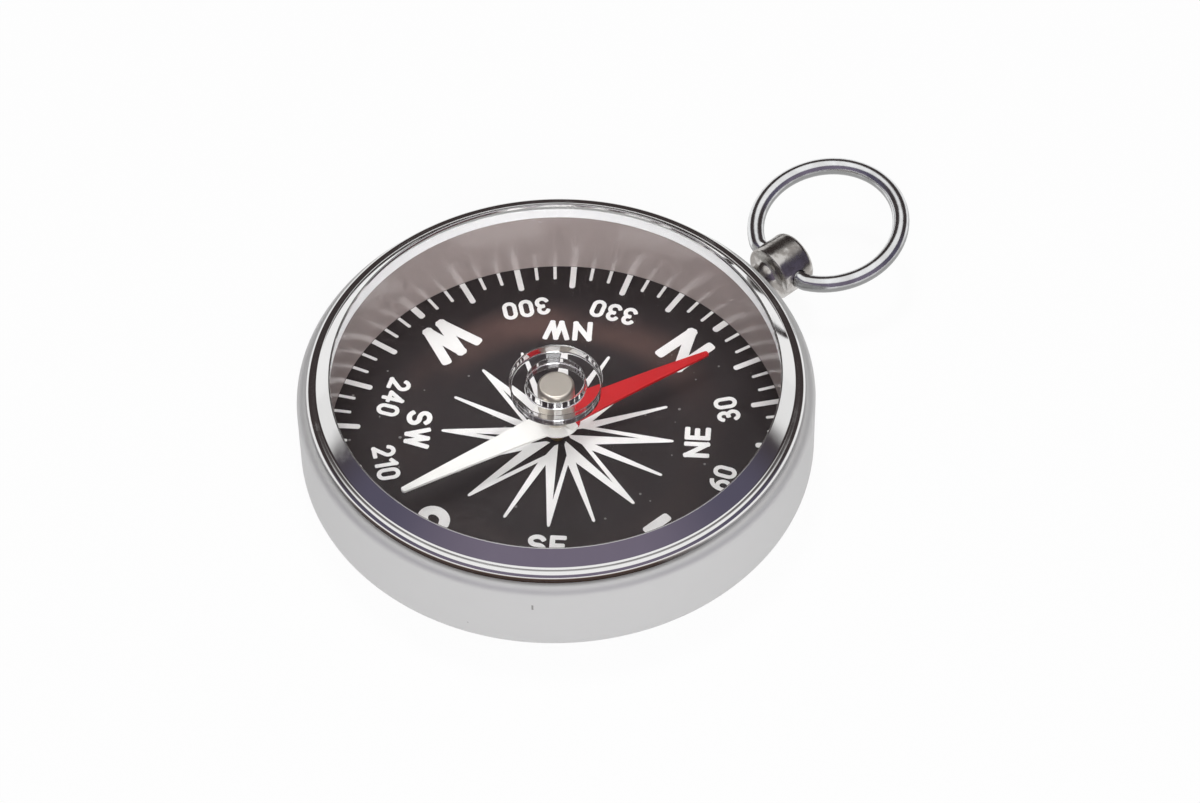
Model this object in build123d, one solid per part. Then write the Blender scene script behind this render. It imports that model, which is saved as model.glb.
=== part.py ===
"""Pocket compass with a drawn case, a printed dial, a needle on a point, a clear crystal and a hanging bow.

Millimetres. The origin is the centre of the flat underside, +Z points up out of the dial, and +Y points
to the pendant, which is at the dial's north mark.
"""
import os
from math import acos, atan2, degrees, radians, sqrt, tan

from build123d import *

# Case: a cup drawn from sheet and necked in at its mouth
CASE_DIAMETER = 44.5
CASE_WALL = 0.5
CASE_FLOOR = 0.5
CASE_EDGE_RADIUS = 1.5
SHOULDER_WIDTH = 1.1
SHOULDER_RADIUS = 0.8
COLLAR_WALL = 0.35
COLLAR_HEIGHT = 0.65
COLLAR_RISE = 0.2

# Dial and the ring that stands on its rim
DIAL_THICKNESS = 0.45
SPACER_WALL = 0.93
SPACER_HEIGHT = 6.9

# Seat: a white ring on top of the spacer, with a ledge round the crystal for the bezel's lip
SEAT_THICKNESS = 0.55
SEAT_WIDTH = 1.35
SEAT_CHAMFER = 0.5
SEAT_LEDGE = 0.42

# Crystal: a clear plate with a tube under its middle
CRYSTAL_PLATE = 1.0
CRYSTAL_BEVEL = 0.63
BOSS_OUTER_DIAMETER = 7.8
BOSS_INNER_DIAMETER = 5.15
BOSS_DEPTH = 1.5

# Bezel: a skirt round the collar, a bead that stands out over it, and a slope up over the crystal's bevel
BEZEL_SKIRT = 0.15
BEZEL_OVERHANG = 0.05
BEZEL_BEAD_RISE = 0.02
BEZEL_SHEET = 0.25
BEZEL_REACH = 1.1
BEZEL_LAND = 0.12
BEZEL_VALLEY_RADIUS = 0.3

# Pivot: a foot under the dial, its shank through the dial, and a pointed pin
FOOT_DIAMETER = 3.6
FOOT_THICKNESS = 0.2
FOOT_SHANK_DIAMETER = 1.2
FOOT_SHANK_RISE = 0.3
PIN_DIAMETER = 0.8
PIN_POINT_ANGLE = 40.0
PIN_TIP_DIAMETER = 0.06

# Needle
NEEDLE_BEARING = 10.5
NEEDLE_RIDE_HEIGHT = 2.15
NEEDLE_HALF_LENGTH = 15.3
NEEDLE_MIDDLE_WIDTH = 2.6
NEEDLE_TIP_WIDTH = 0.5
NEEDLE_TIP_RADIUS = 0.2
NEEDLE_THICKNESS = 0.25
NEEDLE_HUB_DIAMETER = 4.1
CAP_DIAMETER = 3.2
CAP_HEIGHT = 4.45
CAP_FOOT_DIAMETER = 2.3
CAP_FLARE_HEIGHT = 0.8
CAP_SPIGOT_DIAMETER = 1.9
CAP_BORE_DIAMETER = 1.4
CAP_ROOF = 0.4
CAP_EDGE_RADIUS = 0.25
JEWEL_DIAMETER = 2.0
JEWEL_HEIGHT = 0.7
JEWEL_RECESS_DEPTH = 0.45
JEWEL_RECESS_ANGLE = 100.0
JEWEL_RECESS_FLOOR = 0.12

# Pendant: one turned piece, riveted through the case wall
PENDANT_FLANGE_DIAMETER = 3.8
PENDANT_FLANGE = 0.6
PENDANT_NECK_DIAMETER = 2.7
PENDANT_NECK = 1.85
PENDANT_NECK_FLARE = 0.6
DRUM_DIAMETER = 5.0
DRUM_LENGTH = 3.4
DRUM_INNER_EDGE_RADIUS = 0.2
DRUM_OUTER_EDGE_RADIUS = 0.5
PENDANT_SHANK_DIAMETER = 1.8
RIVET_HEAD_DIAMETER = 2.6
RIVET_HEAD = 0.5
RIVET_EDGE_RADIUS = 0.2
WASHER_DIAMETER = 3.2
WASHER_THICKNESS = 0.3
PENDANT_HEIGHT = 4.05

# Bow: round wire, its two ends turned into the drum
BOW_WIRE_DIAMETER = 1.5
BOW_RADIUS = 6.5
BOW_BEND_RADIUS = 1.3
BOW_DRUM_WALL = 1.1
BOW_HOLE_RISE = 0.4
BOW_END_GAP = 1.0
BOW_TILT = 9.5

# Clearances
DIAL_CLEARANCE = 0.05
SEAT_CLEARANCE = 0.05
BEZEL_CLEARANCE = 0.02
COLLAR_TOP_GAP = 0.05
SEAM_GAP = 0.03
FIT_GAP = 0.01
POINT_GAP = 0.03
BOW_CLEARANCE = 0.05
BOW_BEND_CLEARANCE = 0.1

# Levels, from the underside up
DIAL_TOP = CASE_FLOOR + DIAL_THICKNESS
SPACER_TOP = DIAL_TOP + SPACER_HEIGHT
SEAT_TOP = SPACER_TOP + SEAT_THICKNESS
COLLAR_TOP = SEAT_TOP + COLLAR_RISE
SHOULDER_TOP = COLLAR_TOP - COLLAR_HEIGHT
CRYSTAL_TOP = SEAT_TOP + CRYSTAL_PLATE
BLADE_UNDERSIDE = DIAL_TOP + NEEDLE_RIDE_HEIGHT
BLADE_TOP = BLADE_UNDERSIDE + NEEDLE_THICKNESS
CAP_TOP = BLADE_TOP + CAP_HEIGHT
JEWEL_TOP = CAP_TOP - CAP_ROOF
JEWEL_UNDERSIDE = JEWEL_TOP - JEWEL_HEIGHT
PIN_TIP = JEWEL_UNDERSIDE + JEWEL_RECESS_DEPTH - POINT_GAP

# Radii, from the outside in
CASE_RADIUS = CASE_DIAMETER / 2
CASE_INNER_RADIUS = CASE_RADIUS - CASE_WALL
COLLAR_RADIUS = CASE_RADIUS - SHOULDER_WIDTH
MOUTH_RADIUS = COLLAR_RADIUS - COLLAR_WALL
SEAT_RADIUS = MOUTH_RADIUS - SEAT_CLEARANCE
CRYSTAL_RADIUS = SEAT_RADIUS - SEAT_LEDGE
DIAL_RADIUS = CASE_RADIUS - CASE_EDGE_RADIUS - DIAL_CLEARANCE
SPACER_INNER_RADIUS = DIAL_RADIUS - SPACER_WALL

# Places along the pendant's axis, measured from the middle of the case
FLANGE_END = CASE_RADIUS + PENDANT_FLANGE
NECK_END = FLANGE_END + PENDANT_NECK
DRUM_END = NECK_END + DRUM_LENGTH
DRUM_RADIUS = DRUM_DIAMETER / 2
BOW_WIRE_RADIUS = BOW_WIRE_DIAMETER / 2
BOW_HOLE_RADIUS = BOW_WIRE_RADIUS + BOW_CLEARANCE
BOW_PIVOT = DRUM_END - BOW_DRUM_WALL - BOW_HOLE_RADIUS
BOW_HEIGHT = PENDANT_HEIGHT + BOW_HOLE_RISE
WASHER_SEAT = sqrt(CASE_INNER_RADIUS**2 - (WASHER_DIAMETER / 2) ** 2)
RIVET_SEAT = WASHER_SEAT - WASHER_THICKNESS


def outline(*points):
    """A closed flat outline through straight corners."""
    return make_face(Polyline(*points, close=True))


def rounded(face, corner, radius):
    """The outline with one named corner rounded."""
    return fillet(face.vertices().sort_by_distance((corner[0], corner[1], 0))[0], radius)


def turned(face):
    """A solid of revolution about Z from an outline in (radius, height)."""
    return revolve(Plane.XZ * face, Axis.Z)


def along_pendant(shape):
    """Lay a piece that is turned about Z along the pendant's axis, with its Z running outwards."""
    return Pos(0, 0, PENDANT_HEIGHT) * Rot(-90, 0, 0) * shape


def at_bow_pivot(shape):
    """Move a shape drawn about the bow's swinging axis, which runs along X, to its place in the drum."""
    return Pos(0, BOW_PIVOT, BOW_HEIGHT) * shape


def make_case_cup():
    foot = (CASE_RADIUS, 0)
    shoulder = (CASE_RADIUS, SHOULDER_TOP)
    inner_shoulder = (CASE_INNER_RADIUS, SHOULDER_TOP - CASE_WALL)
    inner_foot = (CASE_INNER_RADIUS, CASE_FLOOR)
    face = outline(
        (0, 0),
        foot,
        shoulder,
        (COLLAR_RADIUS, SHOULDER_TOP),
        (COLLAR_RADIUS, COLLAR_TOP),
        (MOUTH_RADIUS, COLLAR_TOP),
        (MOUTH_RADIUS, SHOULDER_TOP - CASE_WALL),
        inner_shoulder,
        inner_foot,
        (0, CASE_FLOOR),
    )
    face = rounded(face, foot, CASE_EDGE_RADIUS)
    face = rounded(face, shoulder, SHOULDER_RADIUS)
    face = rounded(face, inner_shoulder, SHOULDER_RADIUS - CASE_WALL)
    face = rounded(face, inner_foot, CASE_EDGE_RADIUS - CASE_WALL)
    hole_radius = PENDANT_SHANK_DIAMETER / 2 + FIT_GAP
    hole = along_pendant(Cylinder(hole_radius, CASE_RADIUS, align=(Align.CENTER, Align.CENTER, Align.MIN)))
    return turned(face) - hole


def make_dial_plate():
    hole = FOOT_SHANK_DIAMETER / 2 + FIT_GAP
    recess = FOOT_DIAMETER / 2 + FIT_GAP
    recess_top = CASE_FLOOR + FOOT_THICKNESS + FIT_GAP
    face = outline(
        (recess, CASE_FLOOR),
        (DIAL_RADIUS, CASE_FLOOR),
        (DIAL_RADIUS, DIAL_TOP),
        (hole, DIAL_TOP),
        (hole, recess_top),
        (recess, recess_top),
    )
    return turned(face)


def make_spacer_ring():
    face = outline(
        (SPACER_INNER_RADIUS, DIAL_TOP),
        (DIAL_RADIUS, DIAL_TOP),
        (DIAL_RADIUS, SPACER_TOP),
        (SPACER_INNER_RADIUS, SPACER_TOP),
    )
    return turned(face)


def make_seat_ring():
    inside = SEAT_RADIUS - SEAT_WIDTH
    face = outline(
        (inside, SPACER_TOP),
        (SEAT_RADIUS, SPACER_TOP),
        (SEAT_RADIUS, SEAT_TOP),
        (inside + SEAT_CHAMFER, SEAT_TOP),
        (inside, SEAT_TOP - SEAT_CHAMFER),
    )
    return turned(face)


def make_crystal():
    face = outline(
        (0, SEAT_TOP),
        (BOSS_INNER_DIAMETER / 2, SEAT_TOP),
        (BOSS_INNER_DIAMETER / 2, SEAT_TOP - BOSS_DEPTH),
        (BOSS_OUTER_DIAMETER / 2, SEAT_TOP - BOSS_DEPTH),
        (BOSS_OUTER_DIAMETER / 2, SEAT_TOP),
        (CRYSTAL_RADIUS, SEAT_TOP),
        (CRYSTAL_RADIUS, CRYSTAL_TOP - CRYSTAL_BEVEL),
        (CRYSTAL_RADIUS - CRYSTAL_BEVEL, CRYSTAL_TOP),
        (0, CRYSTAL_TOP),
    )
    return turned(face)


def make_bezel_ring():
    lip = CRYSTAL_RADIUS + BEZEL_CLEARANCE
    skirt = COLLAR_RADIUS + BEZEL_CLEARANCE
    outside = skirt + BEZEL_SKIRT
    groove = MOUTH_RADIUS - BEZEL_CLEARANCE
    groove_top = COLLAR_TOP + COLLAR_TOP_GAP
    seam = SHOULDER_TOP + SEAM_GAP

    bead_radius = (outside + BEZEL_OVERHANG - lip) / 2
    bead_middle = lip + bead_radius
    bead_height = SEAT_TOP + BEZEL_BEAD_RISE
    bead_top = bead_height + bead_radius
    bead_drop = degrees(acos((outside - bead_middle) / bead_radius))
    bead = CenterArc((bead_middle, bead_height), bead_radius, -bead_drop, bead_drop + 90)

    # The slope lies at 45 degrees, as the crystal's bevel does
    slope_foot = CRYSTAL_TOP - CRYSTAL_BEVEL + BEZEL_CLEARANCE * (sqrt(2) - 1)
    slope_rise = BEZEL_SHEET * sqrt(2)
    opening = lip - BEZEL_REACH
    land_height = slope_foot + BEZEL_REACH - BEZEL_LAND + slope_rise
    valley = (lip + slope_foot + slope_rise - bead_top, bead_top)
    rest = Polyline(
        bead @ 1,
        valley,
        (opening + BEZEL_LAND, land_height),
        (opening, land_height),
        (opening, slope_foot + BEZEL_REACH),
        (lip, slope_foot),
        (lip, SEAT_TOP),
        (groove, SEAT_TOP),
        (groove, groove_top),
        (skirt, groove_top),
        (skirt, seam),
        (outside, seam),
        bead @ 0,
    )
    face = make_face([*bead.edges(), *rest.edges()])
    return turned(rounded(face, valley, BEZEL_VALLEY_RADIUS))


def make_pivot_base():
    bore = PIN_DIAMETER / 2 + FIT_GAP
    shank = FOOT_SHANK_DIAMETER / 2
    foot = FOOT_DIAMETER / 2
    foot_top = CASE_FLOOR + FOOT_THICKNESS
    shank_top = DIAL_TOP + FOOT_SHANK_RISE
    face = outline(
        (bore, CASE_FLOOR),
        (foot, CASE_FLOOR),
        (foot, foot_top),
        (shank, foot_top),
        (shank, shank_top),
        (bore, shank_top),
    )
    return turned(face)


def make_pivot_pin():
    radius = PIN_DIAMETER / 2
    tip = PIN_TIP_DIAMETER / 2
    point = (radius - tip) / tan(radians(PIN_POINT_ANGLE / 2))
    face = outline(
        (0, CASE_FLOOR),
        (radius, CASE_FLOOR),
        (radius, PIN_TIP - point),
        (tip, PIN_TIP),
        (0, PIN_TIP),
    )
    return turned(face)


def on_needle(shape):
    """Turn a needle piece, drawn pointing along +Y, to the needle's bearing clockwise from north."""
    return Rot(0, 0, -NEEDLE_BEARING) * shape


def make_needle_blade():
    middle = NEEDLE_MIDDLE_WIDTH / 2
    tip = NEEDLE_TIP_WIDTH / 2
    corners = [(tip, NEEDLE_HALF_LENGTH), (-tip, NEEDLE_HALF_LENGTH)]
    corners += [(-tip, -NEEDLE_HALF_LENGTH), (tip, -NEEDLE_HALF_LENGTH)]
    face = outline(corners[0], corners[1], (-middle, 0), corners[2], corners[3], (middle, 0))
    for corner in corners:
        face = rounded(face, corner, NEEDLE_TIP_RADIUS)
    face = face + Circle(NEEDLE_HUB_DIAMETER / 2) - Circle(CAP_SPIGOT_DIAMETER / 2 + FIT_GAP)
    return on_needle(Pos(0, 0, BLADE_UNDERSIDE) * extrude(face, NEEDLE_THICKNESS))


def make_needle_cap():
    bore = CAP_BORE_DIAMETER / 2
    seat = JEWEL_DIAMETER / 2 + FIT_GAP
    edge = (CAP_DIAMETER / 2, CAP_TOP)
    face = outline(
        (bore, BLADE_UNDERSIDE),
        (CAP_SPIGOT_DIAMETER / 2, BLADE_UNDERSIDE),
        (CAP_SPIGOT_DIAMETER / 2, BLADE_TOP),
        (CAP_FOOT_DIAMETER / 2, BLADE_TOP),
        (CAP_DIAMETER / 2, BLADE_TOP + CAP_FLARE_HEIGHT),
        edge,
        (0, CAP_TOP),
        (0, JEWEL_TOP),
        (seat, JEWEL_TOP),
        (seat, JEWEL_UNDERSIDE),
        (bore, JEWEL_UNDERSIDE),
    )
    return turned(rounded(face, edge, CAP_EDGE_RADIUS))


def make_jewel_cup():
    recess_floor = JEWEL_RECESS_FLOOR / 2
    recess_mouth = recess_floor + JEWEL_RECESS_DEPTH * tan(radians(JEWEL_RECESS_ANGLE / 2))
    face = outline(
        (0, JEWEL_UNDERSIDE + JEWEL_RECESS_DEPTH),
        (recess_floor, JEWEL_UNDERSIDE + JEWEL_RECESS_DEPTH),
        (recess_mouth, JEWEL_UNDERSIDE),
        (JEWEL_DIAMETER / 2, JEWEL_UNDERSIDE),
        (JEWEL_DIAMETER / 2, JEWEL_TOP),
        (0, JEWEL_TOP),
    )
    return turned(face)


def make_pendant():
    flange = PENDANT_FLANGE_DIAMETER / 2
    neck = PENDANT_NECK_DIAMETER / 2
    flare = (neck, NECK_END)
    inner_edge = (DRUM_RADIUS, NECK_END)
    outer_edge = (DRUM_RADIUS, DRUM_END)
    knob = outline(
        (0, CASE_INNER_RADIUS),
        (flange, CASE_INNER_RADIUS),
        (flange, FLANGE_END),
        (neck, FLANGE_END),
        flare,
        inner_edge,
        outer_edge,
        (0, DRUM_END),
    )
    knob = rounded(knob, flare, PENDANT_NECK_FLARE)
    knob = rounded(knob, inner_edge, DRUM_INNER_EDGE_RADIUS)
    knob = rounded(knob, outer_edge, DRUM_OUTER_EDGE_RADIUS)
    saddle = Pos(0, 0, PENDANT_HEIGHT) * Cylinder(CASE_RADIUS, PENDANT_FLANGE_DIAMETER * 2)
    bow_hole = at_bow_pivot(Rot(0, 90, 0) * Cylinder(BOW_HOLE_RADIUS, DRUM_DIAMETER * 2))
    head_edge = (RIVET_HEAD_DIAMETER / 2, RIVET_SEAT - RIVET_HEAD)
    shank = outline(
        (0, RIVET_SEAT - RIVET_HEAD),
        head_edge,
        (RIVET_HEAD_DIAMETER / 2, RIVET_SEAT),
        (PENDANT_SHANK_DIAMETER / 2, RIVET_SEAT),
        (PENDANT_SHANK_DIAMETER / 2, FLANGE_END),
        (0, FLANGE_END),
    )
    shank = rounded(shank, head_edge, RIVET_EDGE_RADIUS)
    return (along_pendant(turned(knob)) - saddle - bow_hole) + along_pendant(turned(shank))


def make_pendant_washer():
    bore = PENDANT_SHANK_DIAMETER / 2 + FIT_GAP
    face = outline(
        (bore, RIVET_SEAT),
        (WASHER_DIAMETER / 2, RIVET_SEAT),
        (WASHER_DIAMETER / 2, WASHER_SEAT),
        (bore, WASHER_SEAT),
    )
    return along_pendant(turned(face))


def make_bow_ring():
    bend_start = DRUM_RADIUS + BOW_BEND_CLEARANCE
    bend_to_ring = sqrt((BOW_RADIUS - BOW_BEND_RADIUS) ** 2 - bend_start**2)
    ring_centre = BOW_BEND_RADIUS + bend_to_ring
    join = degrees(atan2(-bend_to_ring, bend_start))
    path = Wire(
        [
            Line((BOW_END_GAP / 2, 0), (bend_start, 0)),
            CenterArc((bend_start, BOW_BEND_RADIUS), BOW_BEND_RADIUS, -90, 90 + join),
            CenterArc((0, ring_centre), BOW_RADIUS, join, 180 - 2 * join),
            CenterArc((-bend_start, BOW_BEND_RADIUS), BOW_BEND_RADIUS, 180 - join, 90 + join),
            Line((-bend_start, 0), (-BOW_END_GAP / 2, 0)),
        ]
    )
    section = Plane(origin=path @ 0, z_dir=path % 0) * Circle(BOW_WIRE_RADIUS)
    wire = sweep(section, path=path)
    return at_bow_pivot(Rot(BOW_TILT, 0, 0) * wire)


PIECES = {
    "case_cup": make_case_cup,
    "dial_plate": make_dial_plate,
    "spacer_ring": make_spacer_ring,
    "seat_ring": make_seat_ring,
    "crystal": make_crystal,
    "bezel_ring": make_bezel_ring,
    "pivot_base": make_pivot_base,
    "pivot_pin": make_pivot_pin,
    "needle_blade": make_needle_blade,
    "needle_cap": make_needle_cap,
    "jewel_cup": make_jewel_cup,
    "pendant": make_pendant,
    "pendant_washer": make_pendant_washer,
    "bow_ring": make_bow_ring,
}

os.makedirs("parts", exist_ok=True)
for node, make_piece in PIECES.items():
    export_step(make_piece(), f"parts/{node}.step")
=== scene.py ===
"""Looks of the pocket compass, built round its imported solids.

Metres, in the solids' own frame: the origin is the centre of the flat underside, +Z points up out of the
dial, and +Y points to the pendant, which is at the dial's north mark.
"""
from math import acos, copysign, cos, pi, radians, sin, tan

import bmesh
import bpy
from mathutils import Matrix, Vector


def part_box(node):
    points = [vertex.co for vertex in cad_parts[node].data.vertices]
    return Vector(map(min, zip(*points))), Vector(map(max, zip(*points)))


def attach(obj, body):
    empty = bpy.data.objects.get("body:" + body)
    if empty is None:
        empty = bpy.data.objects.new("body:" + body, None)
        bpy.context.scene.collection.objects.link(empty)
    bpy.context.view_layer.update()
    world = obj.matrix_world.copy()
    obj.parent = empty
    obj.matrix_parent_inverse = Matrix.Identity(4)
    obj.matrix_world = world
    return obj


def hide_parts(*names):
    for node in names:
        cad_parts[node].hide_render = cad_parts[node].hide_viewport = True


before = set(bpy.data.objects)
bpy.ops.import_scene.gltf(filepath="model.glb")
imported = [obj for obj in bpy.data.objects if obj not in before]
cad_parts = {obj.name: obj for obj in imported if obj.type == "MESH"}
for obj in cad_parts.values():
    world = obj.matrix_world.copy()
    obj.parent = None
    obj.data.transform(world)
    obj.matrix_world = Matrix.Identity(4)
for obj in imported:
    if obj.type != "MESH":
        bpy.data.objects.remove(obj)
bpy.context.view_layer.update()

MM = 0.001
scene = bpy.context.scene

# Camera, solved from the even spacing of the dial's marks
VIEW_AZIMUTH = radians(49.77)
VIEW_ELEVATION = radians(49.71)
VIEW_ROLL = radians(-1.004)
VIEW_DISTANCE = 377.0 * MM
VIEW_LENS = 130.3
SENSOR_WIDTH = 36.0
AIM_HEIGHT = 1.4 * MM
AIM_RIGHT = 3.70 * MM
AIM_UP = 2.97 * MM
NEAR_CLIP = 10 * MM

# Sizes read from the solids
CASE_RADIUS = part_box("case_cup")[1].x
COLLAR_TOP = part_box("case_cup")[1].z
DIAL_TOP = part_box("dial_plate")[1].z
WALL_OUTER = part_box("spacer_ring")[1].x
WALL_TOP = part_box("spacer_ring")[1].z
SEAT_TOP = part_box("seat_ring")[1].z
SEAT_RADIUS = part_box("seat_ring")[1].x
CRYSTAL_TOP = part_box("crystal")[1].z
CRYSTAL_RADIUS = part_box("crystal")[1].x
TUBE_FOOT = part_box("crystal")[0].z
BEZEL_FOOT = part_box("bezel_ring")[0].z
BEZEL_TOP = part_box("bezel_ring")[1].z
BEZEL_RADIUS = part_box("bezel_ring")[1].x
BLADE_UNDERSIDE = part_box("needle_blade")[0].z
BLADE_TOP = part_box("needle_blade")[1].z
CAP_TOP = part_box("needle_cap")[1].z
CAP_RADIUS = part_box("needle_cap")[1].x

# Sizes of the turned pieces that their boxes don't give
CASE_WALL = 0.5 * MM
CASE_EDGE = 1.5 * MM
SHOULDER_TOP = 7.95 * MM
SHOULDER_EDGE = 0.8 * MM
SHOULDER_ROUNDING = 0.98 * SHOULDER_EDGE
COLLAR_RADIUS = 21.15 * MM
MOUTH_RADIUS = 20.8 * MM
WALL_INNER = 19.77 * MM
SEAT_INNER = 19.4 * MM
SEAT_CHAMFER = 0.5 * MM
CRYSTAL_BEVEL = 0.63 * MM
TUBE_OUTER = 3.9 * MM
TUBE_INNER = 2.575 * MM
BEZEL_CLEARANCE = 0.02 * MM
BEZEL_SKIRT = 0.15 * MM
BEZEL_BEAD_RISE = 0.02 * MM
BEZEL_OPENING = 19.25 * MM
BEZEL_LAND = 0.12 * MM
BEZEL_LAND_EDGE = 0.05 * MM
BEZEL_VALLEY = 0.3 * MM
BEZEL_GROOVE_GAP = 0.05 * MM
BEZEL_SLOPE_GAP = 0.4 * BEZEL_CLEARANCE
BEAD_STEPS = 30
CAP_FOOT = 1.15 * MM
CAP_SPIGOT = 0.95 * MM
CAP_FLARE = 0.8 * MM
CAP_BORE = 0.7 * MM
CAP_EDGE = 0.25 * MM
TINY_EDGE = 0.06 * MM
MOULDED_EDGE = 0.12 * MM

# How finely the pieces are made
TURN_STEPS = 256
PATH_RADIUS = 1.0 * MM
WELD_DISTANCE = 0.0005 * MM
JOIN_DISTANCE = 0.001 * MM
SHARP_ANGLE = radians(35)
EASED_STEPS = 8
EASED_HOLD = 0.3

# Depth of the finishes' fine relief
INK_RELIEF = 0.01 * MM
FINE_RELIEF = 0.02 * MM
SOFT_RELIEF = 0.05 * MM

# Share of the cells of a pattern of specks that stay empty
SPECK_GAPS = 0.6

# Painted reflection: a brown band painted on the dial, most of all in the north-west, stands in for a
# reflection in the crystal
REFLECTION_BAND_INSIDE = (10.2 * MM, 12.6 * MM)
REFLECTION_BAND_OUTSIDE = (13.2 * MM, 16.2 * MM)
REFLECTION_BAND_BEARING = radians(310)

# A short upright scratch on the case wall
SCRATCH_BEARING = radians(135.75)
SCRATCH_LEVELS = (5.5 * MM, 6.1 * MM)
SCRATCH_HALF_WIDTH = 0.05 * MM
SCRATCH_RAGGEDNESS = 0.06 * MM

# Painted shade: a brown line painted beneath the bead, on the south-east side, where the crevice below the
# bead lies in shadow
BEAD_SHADE_LEVEL = (8.5 * MM, 8.62 * MM)
BEAD_SHADE_BEARING = radians(145)
BEAD_SHADE_REACH = 0.1 * MM

# Bow: the line that it swings on, the upright of the plane in which it lies, and the painted shade on its
# underside
BOW_PIVOT = Vector((0, 26.2 * MM, 4.45 * MM))
BOW_UPRIGHT = Vector((0, -0.165, 0.986))
BOW_SHADE_LEVELS = (0.3 * MM, 0.6 * MM)
BOW_SHADE_RAGGEDNESS = 0.3 * MM

# Dial print. A kind of mark has its width and the radius of its inner end
PRINT_THICKNESS = 0.02 * MM
TICK_COUNT = 72
TICKS_PER_LONG = 3
TICKS_PER_CARDINAL = 18
TICK_OUTER = 19.74 * MM
SHORT_TICK = (0.29 * MM, 18.24 * MM)
LONG_TICK = (0.52 * MM, 17.2 * MM)
CARDINAL_TICK = (0.62 * MM, 18.24 * MM)
TICK_END_ROUNDING = 0.45
TICK_END_STEPS = 6
STAR_POINTS = 8
STAR_TIP = 10.1 * MM
STAR_TIP_WIDTH = 0.26 * MM
STAR_VALLEY = 3.4 * MM
STAR_LATE_VALLEY = radians(13)
STAR_EARLY_VALLEY = radians(20)
STAR_SLIT_OFFSET = 0.15 * MM
STAR_SLIT_TIP = 7.2 * MM
STAR_SLIT_BEND = (0.97 * MM, 2.15 * MM)
STAR_SLIT_END = (0.68 * MM, 0.95 * MM)

# Needle
NEEDLE_BEARING = radians(10.5)
NEEDLE_HALF_LENGTH = 15.3 * MM
NEEDLE_HUB_RADIUS = 2.05 * MM
RED_DROOP = 0.45 * MM
WHITE_DROOP = 0.12 * MM
NEEDLE_STATIONS = 36
RED_START = 1.2 * MM
PAINT_RAGGEDNESS = 0.12 * MM

# Studio: a bright ceiling, a white horizon beyond the object and a dim violet room between them
NEAR_ROOM_COLOUR = (0.190, 0.163, 0.222, 1)
SIDE_ROOM_COLOUR = (0.105, 0.096, 0.142, 1)
FAR_ROOM_COLOUR = (0.05, 0.04, 0.04, 1)
CEILING_COLOUR = (1.0, 1.0, 1.0, 1)
HORIZON_COLOUR = (0.9, 0.9, 0.9, 1)
CEILING_EDGE = (sin(radians(50)), sin(radians(58)))
HORIZON_EDGE = (sin(radians(8)), sin(radians(13)))
HORIZON_SIDE = (-0.1, 0.35)
NEAR_SIDE = (-0.75, -0.2)
WHITE = (1, 1, 1, 1)
FLOOR_COLOUR = (0.86, 0.86, 0.86, 1)
FLOOR_WHITENESS = 0.94
FLOOR_REACH = 3.0
FLOOR_LEVEL = -0.02 * MM
KEY_LAMP = {"bearing": radians(300), "elevation": radians(68), "distance": 0.6, "size": 0.12, "power": 0.72}
FILL_LAMP = {"bearing": radians(124), "elevation": radians(39), "distance": 0.7, "size": 0.3, "power": 2.5}


class Wire:
    """One output of a node. Sums, products and comparisons of wires add Math nodes to their tree."""

    def __init__(self, tree, socket):
        self.tree = tree
        self.socket = socket

    def out(self, name):
        return Wire(self.tree, self.socket.node.outputs[name])

    def math(self, operation, *values):
        return node(self.tree, "ShaderNodeMath", {"operation": operation}, dict(enumerate(values)))

    def __add__(self, other):
        return self.math("ADD", self, other)

    def __radd__(self, other):
        return self.math("ADD", other, self)

    def __sub__(self, other):
        return self.math("SUBTRACT", self, other)

    def __rsub__(self, other):
        return self.math("SUBTRACT", other, self)

    def __mul__(self, other):
        return self.math("MULTIPLY", self, other)

    def __rmul__(self, other):
        return self.math("MULTIPLY", other, self)

    def __truediv__(self, other):
        return self.math("DIVIDE", self, other)

    def __gt__(self, other):
        return self.math("GREATER_THAN", self, other)

    def __lt__(self, other):
        return self.math("LESS_THAN", self, other)

    def __mod__(self, other):
        return self.math("FLOORED_MODULO", self, other)

    def ramp(self, low, high):
        """0 below low, 1 above high, and an eased slope between."""
        inputs = {"Value": self, "From Min": low, "From Max": high}
        return node(self.tree, "ShaderNodeMapRange", {"interpolation_type": "SMOOTHSTEP"}, inputs)


def node(tree, kind, settings=None, inputs=None, output=0):
    """Add a node with its settings, then the values or links of its inputs, and give one of its outputs."""
    made = tree.nodes.new(kind)
    for name, value in (settings or {}).items():
        setattr(made, name, value)
    for name, value in (inputs or {}).items():
        if isinstance(value, Wire):
            tree.links.new(value.socket, made.inputs[name])
        else:
            made.inputs[name].default_value = value
    return Wire(tree, made.outputs[output]) if made.outputs else None


# Finishes


def new_finish(name):
    finish = bpy.data.materials.new(name)
    finish.use_nodes = True
    finish.node_tree.nodes.clear()
    return finish


def object_place(tree):
    return node(tree, "ShaderNodeTexCoord").out("Object")


def parted(tree, vector):
    return node(tree, "ShaderNodeSeparateXYZ", None, {"Vector": vector})


def noise(tree, place, scale, detail=2.0, roughness=0.5):
    inputs = {"Vector": place, "Scale": scale, "Detail": detail, "Roughness": roughness}
    return node(tree, "ShaderNodeTexNoise", None, inputs)


def blend(tree, factor, first, second):
    """A colour that goes from first to second."""
    inputs = {0: factor, 6: first, 7: second}
    return node(tree, "ShaderNodeMix", {"data_type": "RGBA"}, inputs, output=2)


def bump(tree, height, strength, distance):
    inputs = {"Height": height, "Strength": strength, "Distance": distance}
    return node(tree, "ShaderNodeBump", None, inputs)


def surface(finish, **inputs):
    """Close a finish with one Principled shader, its inputs named with underscores."""
    tree = finish.node_tree
    named = {name.replace("_", " "): value for name, value in inputs.items()}
    shader = node(tree, "ShaderNodeBsdfPrincipled", None, named)
    node(tree, "ShaderNodeOutputMaterial", None, {"Surface": shader})
    return finish


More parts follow.
